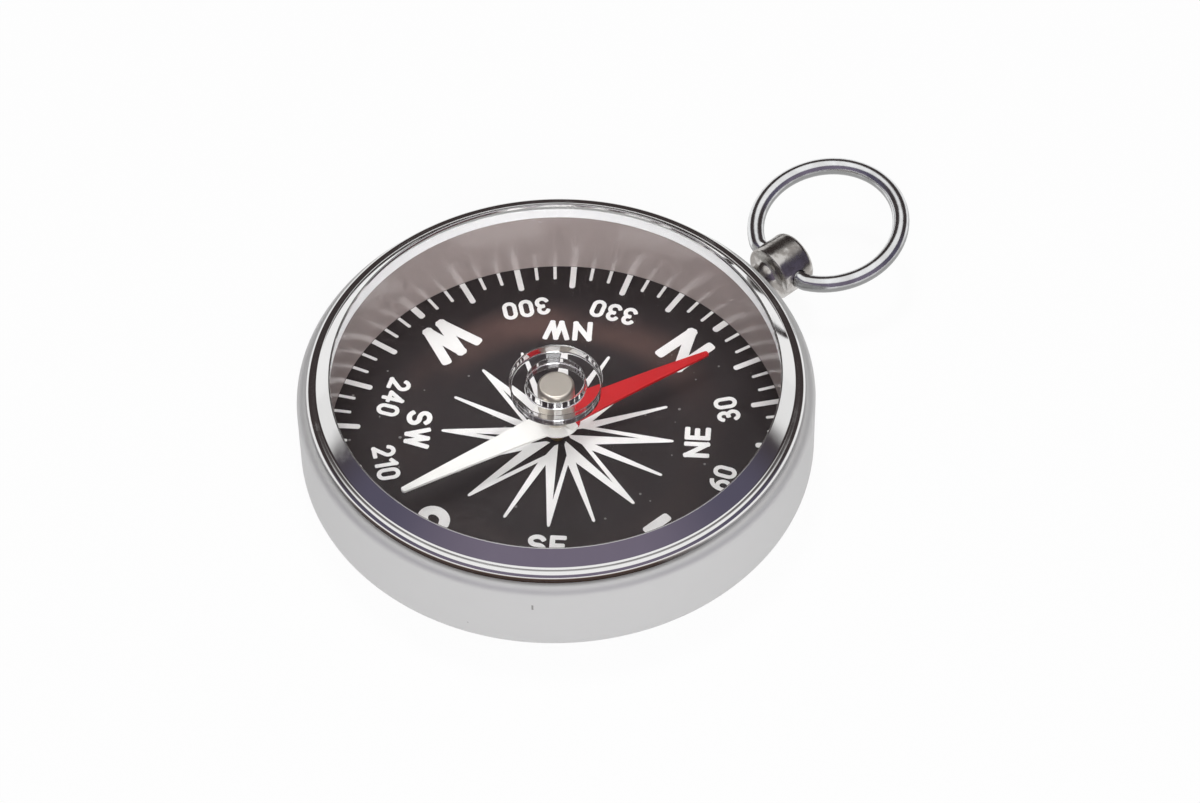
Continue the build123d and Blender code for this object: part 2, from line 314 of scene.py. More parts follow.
def distance_out(axes):
    """Distance from the Z axis."""
    square = axes * axes + axes.out("Y") * axes.out("Y")
    return square.math("SQRT", square)


def specks(tree, place, scale, size):
    """Sparse small dots: 1 inside a dot and 0 elsewhere."""
    cells = node(tree, "ShaderNodeTexVoronoi", None, {"Vector": place, "Scale": scale})
    chosen = parted(tree, cells.out("Color"))
    return (cells.out("Distance") < size * chosen) * (chosen.out("Y") > SPECK_GAPS)


def make_satin_case():
    finish = new_finish("satin_case")
    tree = finish.node_tree
    place = object_place(tree)
    grain = noise(tree, place, scale=9000.0, detail=2.0)
    cloud = noise(tree, place, scale=160.0, detail=3.0)
    axes = parted(tree, place)
    across = cos(SCRATCH_BEARING) * axes - sin(SCRATCH_BEARING) * axes.out("Y")
    outward = sin(SCRATCH_BEARING) * axes + cos(SCRATCH_BEARING) * axes.out("Y")
    level = axes.out("Z")
    half_width = SCRATCH_HALF_WIDTH + SCRATCH_RAGGEDNESS * grain
    scratch = (across.math("ABSOLUTE", across) < half_width) * (outward > 0)
    scratch = scratch * (level > SCRATCH_LEVELS[0]) * (level < SCRATCH_LEVELS[1])
    nicks = scratch + specks(tree, place, scale=420.0, size=0.05)
    tone = blend(tree, cloud, (0.66, 0.66, 0.65, 1), (0.72, 0.72, 0.71, 1))
    return surface(
        finish,
        Base_Color=blend(tree, nicks, tone, (0.35, 0.34, 0.33, 1)),
        Metallic=0.6,
        Roughness=0.50 + 0.12 * cloud,
        Normal=bump(tree, grain, strength=0.18, distance=FINE_RELIEF),
    )


def make_bright_plating():
    finish = new_finish("bright_plating")
    tree = finish.node_tree
    place = object_place(tree)
    smear = noise(tree, place, scale=260.0, detail=4.0, roughness=0.6)
    wave = noise(tree, place, scale=420.0, detail=1.0)
    inputs = {"Vector": place, "Scale": (300.0, 300.0, 4000.0)}
    stretched = node(tree, "ShaderNodeMapping", None, inputs)
    hairs = noise(tree, stretched, scale=1.0, detail=3.0, roughness=0.7)
    axes = parted(tree, place)
    radius = distance_out(axes)
    # Painted shade: a brown, slightly rougher line beneath the bead on the south-east side stands in for
    # the shadowed crevice there
    on_bezel = (radius < BEZEL_RADIUS + BEAD_SHADE_REACH) * (radius > COLLAR_RADIUS)
    shaded_below_bead = on_bezel * (1 - axes.out("Z").ramp(*BEAD_SHADE_LEVEL))
    shaded_side = sin(BEAD_SHADE_BEARING) * axes + cos(BEAD_SHADE_BEARING) * axes.out("Y")
    painted_bead_shade = shaded_below_bead * (shaded_side / radius + 0.3 * smear).ramp(0.65, 0.95)
    bright = blend(tree, smear, (0.78, 0.77, 0.76, 1), (0.86, 0.86, 0.86, 1))
    return surface(
        finish,
        Base_Color=blend(tree, painted_bead_shade, bright, (0.10, 0.06, 0.045, 1)),
        Metallic=1.0,
        Roughness=0.05 + 0.14 * smear.ramp(0.5, 0.8) + 0.05 * hairs + 0.2 * painted_bead_shade,
        Normal=bump(tree, wave, strength=0.12, distance=SOFT_RELIEF),
    )


def make_worn_knob():
    """Plating that handling has dulled in blotches."""
    finish = new_finish("worn_knob")
    tree = finish.node_tree
    place = object_place(tree)
    blotch = noise(tree, place, scale=900.0, detail=4.0, roughness=0.65).ramp(0.38, 0.62)
    return surface(
        finish,
        Base_Color=blend(tree, blotch, (0.36, 0.335, 0.315, 1), (0.58, 0.56, 0.54, 1)),
        Metallic=1.0,
        Roughness=0.30 - 0.14 * blotch,
        Normal=bump(tree, noise(tree, place, scale=1500.0), strength=0.2, distance=SOFT_RELIEF),
    )


def make_worn_bow():
    """Soft bright plating; the underside of the wire is painted darker as shade, and made a little rougher.
    """
    finish = new_finish("bow_plating_painted_shade")
    tree = finish.node_tree
    place = object_place(tree)
    axes = parted(tree, place)
    smear = noise(tree, place, scale=500.0, detail=4.0, roughness=0.65)
    north = axes.out("Y") - BOW_PIVOT.y
    rise = axes.out("Z") - BOW_PIVOT.z
    height = north * BOW_UPRIGHT.y + rise * BOW_UPRIGHT.z
    # Painted shade: the wire's underside, below the plane of the bow, is painted dark grey
    underside_shade = 1 - (height + BOW_SHADE_RAGGEDNESS * smear).ramp(*BOW_SHADE_LEVELS)
    bright = blend(tree, smear.ramp(0.3, 0.7), (0.66, 0.66, 0.66, 1), (0.84, 0.85, 0.86, 1))
    return surface(
        finish,
        Base_Color=blend(tree, underside_shade, bright, (0.30, 0.30, 0.30, 1)),
        Metallic=1.0,
        Roughness=0.10 + 0.12 * smear + 0.1 * underside_shade,
        Normal=bump(tree, noise(tree, place, scale=900.0), strength=0.15, distance=SOFT_RELIEF),
    )


def make_black_dial():
    finish = new_finish("black_dial")
    tree = finish.node_tree
    place = object_place(tree)
    cloud = noise(tree, place, scale=120.0, detail=3.0)
    dust = specks(tree, place, scale=800.0, size=0.13)
    axes = parted(tree, place)
    radius = distance_out(axes)
    # Painted reflection: brown painted in a band on the black, most of all in the north-west, in place of a
    # reflection in the crystal
    reflection_band = radius.ramp(*REFLECTION_BAND_INSIDE) * (1 - radius.ramp(*REFLECTION_BAND_OUTSIDE))
    reflection_side = sin(REFLECTION_BAND_BEARING) * axes + cos(REFLECTION_BAND_BEARING) * axes.out("Y")
    painted_reflection = reflection_band * (0.08 + 0.72 * (reflection_side / radius).ramp(0.2, 1.0)) * cloud.ramp(0.25, 0.6)
    black = blend(tree, cloud, (0.024, 0.020, 0.0205, 1), (0.033, 0.0265, 0.027, 1))
    tone = blend(tree, painted_reflection, black, (0.115, 0.068, 0.060, 1))
    return surface(
        finish,
        Base_Color=blend(tree, dust * 0.5, tone, (0.4, 0.38, 0.37, 1)),
        Specular_IOR_Level=0.15,
        Roughness=0.45 + 0.1 * cloud,
        Normal=bump(tree, noise(tree, place, scale=5000.0), strength=0.08, distance=FINE_RELIEF),
    )


def make_white_print():
    finish = new_finish("white_print")
    tree = finish.node_tree
    place = object_place(tree)
    ink = noise(tree, place, scale=1500.0, detail=3.0)
    return surface(
        finish,
        Base_Color=blend(tree, ink, (0.84, 0.83, 0.81, 1), (0.90, 0.89, 0.87, 1)),
        Specular_IOR_Level=0.25,
        Roughness=0.5,
        Normal=bump(tree, ink, strength=0.1, distance=INK_RELIEF),
    )


def make_grey_wall():
    finish = new_finish("grey_wall")
    tree = finish.node_tree
    place = object_place(tree)
    cloud = noise(tree, place, scale=180.0, detail=3.0)
    return surface(
        finish,
        Base_Color=blend(tree, cloud, (0.40, 0.335, 0.32, 1), (0.47, 0.40, 0.38, 1)),
        IOR=2.0,
        Specular_IOR_Level=0.9,
        Roughness=0.20 + 0.06 * cloud,
        Normal=bump(tree, noise(tree, place, scale=2500.0), strength=0.04, distance=FINE_RELIEF),
    )


def make_white_seat():
    finish = new_finish("white_seat")
    tree = finish.node_tree
    place = object_place(tree)
    cloud = noise(tree, place, scale=200.0, detail=3.0)
    return surface(
        finish,
        Base_Color=blend(tree, cloud, (0.86, 0.86, 0.85, 1), (0.92, 0.92, 0.91, 1)),
        Roughness=0.35 + 0.1 * cloud,
        Normal=bump(tree, noise(tree, place, scale=2500.0), strength=0.05, distance=FINE_RELIEF),
    )


def make_clear_crystal():
    finish = new_finish("clear_crystal")
    tree = finish.node_tree
    haze = noise(tree, object_place(tree), scale=700.0, detail=4.0, roughness=0.6)
    return surface(
        finish,
        Base_Color=blend(tree, haze, (0.98, 0.98, 0.985, 1), (0.99, 0.99, 1.0, 1)),
        Roughness=0.02 * haze.ramp(0.6, 0.8),
        IOR=1.49,
        Transmission_Weight=1.0,
    )


def make_needle_paint():
    finish = new_finish("needle_paint")
    tree = finish.node_tree
    place = object_place(tree)
    inputs = {"Vector": place, "Rotation": (0, 0, NEEDLE_BEARING)}
    turned_place = node(tree, "ShaderNodeMapping", None, inputs)
    along = parted(tree, turned_place).out("Y")
    paint = noise(tree, place, scale=1200.0, detail=3.0)
    red = blend(tree, paint, (0.43, 0.007, 0.010, 1), (0.51, 0.010, 0.013, 1))
    white = blend(tree, paint, (0.84, 0.83, 0.79, 1), (0.90, 0.89, 0.86, 1))
    edge = along + PAINT_RAGGEDNESS * paint
    return surface(
        finish,
        Base_Color=blend(tree, edge > RED_START, white, red),
        Specular_IOR_Level=0.25,
        Roughness=0.38 + 0.1 * paint,
        Normal=bump(tree, paint, strength=0.12, distance=FINE_RELIEF),
    )


def make_turned_metal(name, dark, light, roughness):
    """A lathe-turned metal with fine rings about its axis."""
    finish = new_finish(name)
    tree = finish.node_tree
    axes = parted(tree, object_place(tree))
    section = node(tree, "ShaderNodeCombineXYZ", None, {"X": distance_out(axes), "Y": axes.out("Z")})
    rings = noise(tree, section, scale=9000.0, detail=2.0)
    return surface(
        finish,
        Base_Color=blend(tree, rings, dark, light),
        Metallic=1.0,
        Roughness=roughness + 0.12 * rings,
        Normal=bump(tree, rings, strength=0.15, distance=FINE_RELIEF),
    )


def make_jewel():
    finish = new_finish("jewel")
    tree = finish.node_tree
    cloud = noise(tree, object_place(tree), scale=1500.0)
    return surface(
        finish,
        Base_Color=blend(tree, cloud, (0.45, 0.08, 0.14, 1), (0.6, 0.14, 0.2, 1)),
        Roughness=0.1,
        Coat_Weight=0.5,
    )


SATIN = make_satin_case()
PLATING = make_bright_plating()
KNOB = make_worn_knob()
BOW = make_worn_bow()
DIAL = make_black_dial()
PRINT = make_white_print()
WALL = make_grey_wall()
SEAT = make_white_seat()
CLEAR = make_clear_crystal()
PAINT = make_needle_paint()
BRASS = make_turned_metal("turned_brass", (0.30, 0.21, 0.09, 1), (0.45, 0.33, 0.16, 1), roughness=0.3)
STEEL = make_turned_metal("hard_steel", (0.5, 0.5, 0.5, 1), (0.65, 0.65, 0.65, 1), roughness=0.2)
NICKEL = make_turned_metal("nickel_cap", (0.56, 0.51, 0.44, 1), (0.68, 0.63, 0.56, 1), roughness=0.26)
JEWEL = make_jewel()


# Shapes


def link(name, mesh):
    piece = bpy.data.objects.new(name, mesh)
    scene.collection.objects.link(piece)
    return piece


def geometry_tree(name, sizes, plan):
    """A Geometry Nodes tree with named sizes; plan(tree, start) gives its shape."""
    tree = bpy.data.node_groups.new(name, "GeometryNodeTree")
    tree.interface.new_socket("Seed", in_out="INPUT", socket_type="NodeSocketGeometry")
    for label, kind in sizes.items():
        tree.interface.new_socket(label, in_out="INPUT", socket_type="NodeSocket" + kind)
    tree.interface.new_socket("Finish", in_out="INPUT", socket_type="NodeSocketMaterial")
    tree.interface.new_socket("Shape", in_out="OUTPUT", socket_type="NodeSocketGeometry")
    start = node(tree, "NodeGroupInput")
    whole = node(tree, "GeometryNodeRealizeInstances", None, {"Geometry": plan(tree, start)})
    inputs = {"Geometry": whole, "Material": start.out("Finish")}
    coated = node(tree, "GeometryNodeSetMaterial", None, inputs)
    node(tree, "NodeGroupOutput", None, {"Shape": coated})
    return tree


def grow(name, tree, seed, finish, sizes):
    """Run a tree on a seed mesh and keep its result as a plain mesh with outward faces."""
    piece = link(name, seed)
    modifier = piece.modifiers.new("grow", "NODES")
    modifier.node_group = tree
    given = {**sizes, "Finish": finish}
    for item in tree.interface.items_tree:
        if item.in_out == "INPUT" and item.name in given:
            modifier[item.identifier] = given[item.name]
    shown = piece.evaluated_get(bpy.context.evaluated_depsgraph_get())
    mesh = bpy.data.meshes.new_from_object(shown)
    piece.modifiers.clear()
    piece.data = mesh
    mesh.name = name
    return piece


def smooth(piece):
    """Point faces outwards and shade smoothly between sharp edges."""
    shape = bmesh.new()
    shape.from_mesh(piece.data)
    bmesh.ops.recalc_face_normals(shape, faces=shape.faces)
    shape.to_mesh(piece.data)
    shape.free()
    piece.data.shade_smooth()
    piece.data.set_sharp_from_angle(angle=SHARP_ANGLE)
    return piece


def line_mesh(name, points, closed):
    edges = [(i, i + 1) for i in range(len(points) - 1)]
    if closed:
        edges.append((len(points) - 1, 0))
    mesh = bpy.data.meshes.new(name)
    mesh.from_pydata(points, edges, [])
    return mesh


def arc(centre, radius, start, end, steps):
    turns = [start + (end - start) * i / steps for i in range(steps + 1)]
    return [Vector((centre[0] + radius * cos(t), centre[1] + radius * sin(t))) for t in turns]


def eased(corner, before, after, radius):
    """The points of a rounded corner, with one more point on each side that keeps the flats flat."""
    back = (before - corner).normalized()
    ahead = (after - corner).normalized()
    half = acos(max(-1.0, min(1.0, back.dot(ahead)))) / 2
    reach = radius / tan(half)
    centre = corner + (back + ahead).normalized() * (radius / sin(half))
    first = corner + back * reach - centre
    turn = pi - 2 * half
    side = 1 if back.x * ahead.y - back.y * ahead.x < 0 else -1
    turns = [side * turn * i / EASED_STEPS for i in range(EASED_STEPS + 1)]
    rim = [centre + Matrix.Rotation(t, 2) @ first for t in turns]
    hold = EASED_HOLD * reach
    return [corner + back * (reach + hold), *rim, corner + ahead * (reach + hold)]


def profile(*corners, closed=False):
    """Points of a turned outline from (radius, height, rounding) corners."""
    places = [Vector(c[:2]) for c in corners]
    points = []
    for i, corner in enumerate(corners):
        ends = not closed and i in (0, len(corners) - 1)
        if ends or corner[2] == 0:
            points.append(places[i])
        else:
            points += eased(places[i], places[i - 1], places[(i + 1) % len(places)], corner[2])
    return points


def turned_plan(tree, start):
    inputs = {"Resolution": start.out("Steps"), "Radius": start.out("Path radius")}
    path = node(tree, "GeometryNodeCurvePrimitiveCircle", {"mode": "RADIUS"}, inputs)
    level = node(tree, "GeometryNodeSetCurveNormal", {"mode": "Z_UP"}, {"Curve": path})
    outline = node(tree, "GeometryNodeMeshToCurve", None, {"Mesh": start.out("Seed")})
    swept = node(tree, "GeometryNodeCurveToMesh", None, {"Curve": level, "Profile Curve": outline})
    inputs = {"Geometry": swept, "Distance": start.out("Weld")}
    return node(tree, "GeometryNodeMergeByDistance", None, inputs)


TURNED = geometry_tree("turned", {"Steps": "Int", "Path radius": "Float", "Weld": "Float"}, turned_plan)


def turned(name, points, finish, closed=False):
    """A piece turned about Z from an outline of (radius, height) points."""
    seed = line_mesh(name, [(p.x - PATH_RADIUS, -p.y, 0) for p in points], closed)
    sizes = {"Steps": TURN_STEPS, "Path radius": PATH_RADIUS, "Weld": WELD_DISTANCE}
    return smooth(grow(name, TURNED, seed, finish, sizes))


def fit(piece, body, slot, *nodes):
    """Let a finished piece ride on its body, in place of the solids that it stands for."""
    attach(piece, body)
    if nodes:
        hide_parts(*nodes)
    return piece


def make_case():
    floor = CASE_WALL
    shoulder_inside = SHOULDER_TOP - CASE_WALL
    outline = profile(
        (0, 0, 0),
        (CASE_RADIUS, 0, CASE_EDGE),
        (CASE_RADIUS, SHOULDER_TOP, SHOULDER_ROUNDING),
        (COLLAR_RADIUS, SHOULDER_TOP, 0),
        (COLLAR_RADIUS, COLLAR_TOP, TINY_EDGE),
        (MOUTH_RADIUS, COLLAR_TOP, TINY_EDGE),
        (MOUTH_RADIUS, shoulder_inside, 0),
        (CASE_RADIUS - CASE_WALL, shoulder_inside, SHOULDER_EDGE - CASE_WALL),
        (CASE_RADIUS - CASE_WALL, floor, CASE_EDGE - CASE_WALL),
        (0, floor, 0),
    )
    return fit(turned("case_shell", outline, SATIN), "case", "satin_case", "case_cup")


def make_wall():
    outline = profile(
        (WALL_INNER, DIAL_TOP, TINY_EDGE),
        (WALL_OUTER, DIAL_TOP, TINY_EDGE),
        (WALL_OUTER, WALL_TOP, TINY_EDGE),
        (WALL_INNER, WALL_TOP, TINY_EDGE),
        closed=True,
    )
    return fit(turned("inner_wall", outline, WALL, closed=True), "case", "grey_wall", "spacer_ring")


def make_seat():
    outline = profile(
        (SEAT_INNER, WALL_TOP, 0),
        (SEAT_RADIUS, WALL_TOP, TINY_EDGE),
        (SEAT_RADIUS, SEAT_TOP, TINY_EDGE),
        (SEAT_INNER + SEAT_CHAMFER, SEAT_TOP, TINY_EDGE),
        (SEAT_INNER, SEAT_TOP - SEAT_CHAMFER, 0),
        closed=True,
    )
    return fit(turned("seat", outline, SEAT, closed=True), "case", "white_seat", "seat_ring")


def make_crystal():
    outline = profile(
        (0, SEAT_TOP, 0),
        (TUBE_INNER, SEAT_TOP, MOULDED_EDGE),
        (TUBE_INNER, TUBE_FOOT, MOULDED_EDGE),
        (TUBE_OUTER, TUBE_FOOT, MOULDED_EDGE),
        (TUBE_OUTER, SEAT_TOP, MOULDED_EDGE),
        (CRYSTAL_RADIUS, SEAT_TOP, TINY_EDGE),
        (CRYSTAL_RADIUS, CRYSTAL_TOP - CRYSTAL_BEVEL, TINY_EDGE),
        (CRYSTAL_RADIUS - CRYSTAL_BEVEL, CRYSTAL_TOP, TINY_EDGE),
        (0, CRYSTAL_TOP, 0),
    )
    piece = fit(turned("clear_crystal", outline, CLEAR), "case", "clear_crystal", "crystal")
    piece.visible_shadow = False
    return piece


def make_bezel():
    """A bead that stands out over the skirt, and a slope at 45 degrees over the crystal's bevel."""
    lip = CRYSTAL_RADIUS + BEZEL_CLEARANCE
    skirt = COLLAR_RADIUS + BEZEL_CLEARANCE
    outside = skirt + BEZEL_SKIRT
    groove = MOUTH_RADIUS - BEZEL_CLEARANCE
    groove_top = COLLAR_TOP + BEZEL_GROOVE_GAP
    bead = (BEZEL_RADIUS - lip) / 2
    middle = lip + bead
    height = SEAT_TOP + BEZEL_BEAD_RISE
    rim = arc((middle, height), bead, -acos((outside - middle) / bead), pi / 2, BEAD_STEPS)
    land = BEZEL_OPENING + BEZEL_LAND
    slope_foot = CRYSTAL_TOP - CRYSTAL_BEVEL + BEZEL_SLOPE_GAP
    outline = profile(
        *((p.x, p.y, 0) for p in rim),
        (land + BEZEL_TOP - height - bead, height + bead, BEZEL_VALLEY),
        (land, BEZEL_TOP, BEZEL_LAND_EDGE),
        (BEZEL_OPENING, BEZEL_TOP, BEZEL_LAND_EDGE),
        (BEZEL_OPENING, slope_foot + lip - BEZEL_OPENING, 0),
        (lip, slope_foot, 0),
        (lip, SEAT_TOP, 0),
        (groove, SEAT_TOP, 0),
        (groove, groove_top, 0),
        (skirt, groove_top, 0),
        (skirt, BEZEL_FOOT, 0),
        (outside, BEZEL_FOOT, 0),
        closed=True,
    )
    return fit(turned("bezel", outline, PLATING, closed=True), "case", "bright_plating", "bezel_ring")


def make_cap():
    outline = profile(
        (CAP_BORE, BLADE_UNDERSIDE, 0),
        (CAP_SPIGOT, BLADE_UNDERSIDE, 0),
        (CAP_SPIGOT, BLADE_TOP, 0),
        (CAP_FOOT, BLADE_TOP, TINY_EDGE),
        (CAP_RADIUS, BLADE_TOP + CAP_FLARE, TINY_EDGE),
        (CAP_RADIUS, CAP_TOP, CAP_EDGE),
        (0, CAP_TOP, 0),
    )
    return fit(turned("cap", outline, NICKEL), "needle", "nickel_cap", "needle_cap")


def smooth_copy(name, node_name, finish):
    """A node's own shape, with its loose triangles joined and shaded smoothly."""
    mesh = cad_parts[node_name].data.copy()
    mesh.materials.clear()
    mesh.materials.append(finish)
    piece = link(name, mesh)
    shape = bmesh.new()
    shape.from_mesh(mesh)
    bmesh.ops.remove_doubles(shape, verts=shape.verts, dist=JOIN_DISTANCE)
    shape.to_mesh(mesh)
    shape.free()
    return smooth(piece)


def make_pendant():
    return fit(smooth_copy("pendant_knob", "pendant", KNOB), "case", "bright_plating", "pendant")


def make_bow():
    return fit(smooth_copy("bow_wire", "bow_ring", BOW), "bow", "bright_plating", "bow_ring")


def make_needle():
    """The blade, with arms that droop a little to their tips."""
    piece = smooth_copy("needle", "needle_blade", PAINT)
    ahead = polar(1, NEEDLE_BEARING).to_3d()
    arm = NEEDLE_HALF_LENGTH - NEEDLE_HUB_RADIUS
    shape = bmesh.new()
    shape.from_mesh(piece.data)
    for i in range(1, NEEDLE_STATIONS):
        place = ahead * NEEDLE_HALF_LENGTH * (2 * i / NEEDLE_STATIONS - 1)
        everything = [*shape.verts, *shape.edges, *shape.faces]
        bmesh.ops.bisect_plane(shape, geom=everything, plane_co=place, plane_no=ahead)
    for corner in shape.verts:
        along = corner.co.dot(ahead)
        out = max(0, abs(along) - NEEDLE_HUB_RADIUS) / arm
        droop = RED_DROOP if along > 0 else WHITE_DROOP
        corner.co.z -= droop * out ** 2
    shape.to_mesh(piece.data)
    shape.free()
    return fit(smooth(piece), "needle", "needle_paint", "needle_blade")


def slab(shape, outline, bottom, top):
    """Add a closed flat slab with a (x, y) outline to a bmesh."""
    low = [shape.verts.new((x, y, bottom)) for x, y in outline]
    high = [shape.verts.new((x, y, top)) for x, y in outline]
    shape.faces.new(low[::-1])
    shape.faces.new(high)
    for i in range(len(low)):
        j = (i + 1) % len(low)
        shape.faces.new((low[i], low[j], high[j], high[i]))


def finished(name, shape):
    mesh = bpy.data.meshes.new(name)
    bmesh.ops.recalc_face_normals(shape, faces=shape.faces)
    shape.to_mesh(mesh)
    shape.free()
    return mesh


def ring_points(tree, start):
    """Points to place copies on, their indices, and turns that go clockwise from north."""
    index = node(tree, "GeometryNodeInputIndex")
    turn = index * (2 * pi) / start.out("Count")
    points = node(tree, "GeometryNodePoints", None, {"Count": start.out("Count")})
    return points, index, node(tree, "ShaderNodeCombineXYZ", None, {"Z": 0 - turn})


def tick_shape(tree, width, inner, outer):
    """A bar along +Y whose inner end is rounded."""
    corners = [
        node(tree, "ShaderNodeCombineXYZ", None, {"X": side * width, "Y": end, "Z": DIAL_TOP})
        for side, end in ((-0.5, inner), (0.5, inner), (0.5, outer), (-0.5, outer))
    ]
    named = {"Point %d" % (i + 1): corner for i, corner in enumerate(corners)}
    frame_line = node(tree, "GeometryNodeCurvePrimitiveQuadrilateral", {"mode": "POINTS"}, named)
    first_two = node(tree, "GeometryNodeInputIndex") < 1.5
    rounding = first_two * width * TICK_END_ROUNDING
    inputs = {"Curve": frame_line, "Radius": rounding, "Count": TICK_END_STEPS}
    eased_line = node(tree, "GeometryNodeFilletCurve", {"mode": "POLY"}, inputs)
    upright = node(tree, "GeometryNodeCurvePrimitiveLine", None, {"End": (0, 0, PRINT_THICKNESS)})
    inputs = {"Curve": upright, "Profile Curve": eased_line, "Fill Caps": True}
    return node(tree, "GeometryNodeCurveToMesh", None, inputs)


def ticks_plan(tree, start):
    points, index, turn = ring_points(tree, start)
    third = (index % TICKS_PER_LONG) < 0.5
    cardinal = (index % TICKS_PER_CARDINAL) < 0.5
    kinds = {"Short": 1 - third, "Long": third - cardinal, "Cardinal": cardinal}
    join = tree.nodes.new("GeometryNodeJoinGeometry")
    for kind, chosen in kinds.items():
        width = start.out(kind + " width")
        inner = start.out(kind + " inner")
        bar = tick_shape(tree, width, inner, start.out("Outer"))
        inputs = {"Points": points, "Selection": chosen > 0.5, "Instance": bar, "Rotation": turn}
        copies = node(tree, "GeometryNodeInstanceOnPoints", None, inputs)
        tree.links.new(copies.socket, join.inputs[0])
    return Wire(tree, join.outputs[0])


def make_ticks():
    sizes = {"Count": TICK_COUNT, "Outer": TICK_OUTER}
    for kind, tick in (("Short", SHORT_TICK), ("Long", LONG_TICK), ("Cardinal", CARDINAL_TICK)):
        sizes[kind + " width"] = tick[0]
        sizes[kind + " inner"] = tick[1]
    kinds = {label: "Int" if label == "Count" else "Float" for label in sizes}
    tree = geometry_tree("dial_ticks", kinds, ticks_plan)
    piece = grow("dial_ticks", tree, bpy.data.meshes.new("dial_ticks"), PRINT, sizes)
    return fit(piece, "case", "black_dial")


def polar(radius, turn):
    """A place on the dial at a turn clockwise from +Y."""
    return Vector((radius * sin(turn), radius * cos(turn)))


def star_seed():
    """One eighth of the star: the full half of a split ray, the plain ray beside it, and the thin edge of
    the next split ray, whose slit is widest near the middle."""
    step = 2 * pi / STAR_POINTS
    blunt = STAR_TIP_WIDTH / 2
    flat = blunt / 2
    low = STAR_TIP - blunt
    half_step = Matrix.Rotation(-step / 2, 2)
    next_ray = Matrix.Rotation(-step, 2)
    split = [(-STAR_SLIT_OFFSET, STAR_SLIT_END[1]), (-STAR_SLIT_OFFSET, STAR_SLIT_TIP)]
    late_tip = [(0, STAR_TIP), (flat, STAR_TIP), (blunt, low)]
    plain_tip = [(-blunt, low), (-flat, STAR_TIP), (flat, STAR_TIP), (blunt, low)]
    early_tip = [(-blunt, low), (-flat, STAR_TIP), (0, STAR_TIP)]
    slit = [(-STAR_SLIT_OFFSET, STAR_SLIT_TIP)]
    slit += [(-x, y) for x, y in (STAR_SLIT_BEND, STAR_SLIT_END)]
    outline = split + late_tip
    outline.append(polar(STAR_VALLEY, STAR_LATE_VALLEY))
    outline += [half_step @ Vector(p) for p in plain_tip]
    outline.append(polar(STAR_VALLEY, step - STAR_EARLY_VALLEY))
    outline += [next_ray @ Vector(p) for p in early_tip + slit]
    shape = bmesh.new()
    slab(shape, outline, DIAL_TOP, DIAL_TOP + PRINT_THICKNESS)
    return finished("dial_star", shape)


def star_plan(tree, start):
    points, _, turn = ring_points(tree, start)
    inputs = {"Points": points, "Instance": start.out("Seed"), "Rotation": turn}
    return node(tree, "GeometryNodeInstanceOnPoints", None, inputs)


def make_star():
    tree = geometry_tree("dial_star", {"Count": "Int"}, star_plan)
    piece = grow("dial_star", tree, star_seed(), PRINT, {"Count": STAR_POINTS})
    return fit(piece, "case", "black_dial")


# Lettering: each sign is a few strokes in a box one unit high


def bowl(centre, across, up, start, end, steps=20):
    """Points of an arc of an oval, its turns in degrees."""
    turns = [radians(start + (end - start) * i / steps) for i in range(steps + 1)]
    return [(centre[0] + across * cos(t), centre[1] + up * sin(t)) for t in turns]


def runs(*points):
    """A run of straight strokes through the points."""
    return [[points[i], points[i + 1]] for i in range(len(points) - 1)]


def oval(width, bottom, top):
    """A closed oval with straight sides, as two strokes."""
    radius = width / 2
    low = bowl((radius, bottom + radius), radius, radius, 180, 360)
    high = bowl((radius, top - radius), radius, radius, 0, 180)
    return [low + [high[0]], high + [low[0]]]


SIGNS = {
    "N": (0.65, runs((0, 0), (0, 1), (0.65, 0), (0.65, 1))),
    "E": (0.5, runs((0.5, 1), (0, 1), (0, 0), (0.5, 0)) + runs((0, 0.52), (0.44, 0.52))),
    "S": (
        0.62,
        [
            bowl((0.31, 0.755), 0.29, 0.245, 25, 270)
            + bowl((0.31, 0.255), 0.31, 0.255, 90, -155),
        ],
    ),
    "W": (0.98, runs((0, 1), (0.29, 0), (0.5, 1), (0.71, 0), (0.98, 1))),
    "0": (0.56, oval(0.56, 0, 1)),
    "1": (0.3, runs((0.02, 0.8), (0.3, 1), (0.3, 0))),
    "2": (0.56, [bowl((0.28, 0.72), 0.28, 0.28, 165, -35) + [(0, 0)], [(0, 0), (0.56, 0)]]),
    "3": (
        0.54,
        [
            bowl((0.25, 0.755), 0.25, 0.245, 155, -90),
            bowl((0.26, 0.265), 0.28, 0.265, 90, -155),
        ],
    ),
    "4": (0.6, runs((0.44, 0), (0.44, 1), (0, 0.28), (0.6, 0.28))),
    "5": (0.56, runs((0.5, 1), (0.09, 1), (0.04, 0.52)) + [bowl((0.27, 0.32), 0.29, 0.32, 140, -155)]),
    "6": (0.56, oval(0.56, 0, 0.62) + [bowl((0.56, 0.31), 0.56, 0.68, 180, 100)]),
}


class Label:
    """A word or number on the dial, given in degrees and millimetres. Spread widens its signs."""

    def __init__(self, text, bearing, radius, height, stroke, gap, spread=1.0):
        self.text = text
        self.spread = spread
        self.bearing = radians(bearing)
        self.radius = radius * MM
        self.height = height * MM
        self.stroke = stroke * MM
        self.gap = gap * MM

    def strokes(self):
        """Centre lines in the dial's plane. The tops of the signs point to the middle of the dial."""
        size = self.height - self.stroke
        pitch = self.stroke + self.gap
        across = size * self.spread
        width = sum(SIGNS[sign][0] * across for sign in self.text) + pitch * (len(self.text) - 1)
        start = -width / 2
        turn = Matrix.Rotation(pi - self.bearing, 2)
        middle = polar(self.radius, self.bearing)
        for sign in self.text:
            for path in SIGNS[sign][1]:
                yield [middle + turn @ Vector((start + x * across, (y - 0.5) * size)) for x, y in path]
            start += SIGNS[sign][0] * across + pitch


# How round the strokes end: 1 is round and 0 is square
END_ROUNDNESS = 0.55
END_STEPS = 12

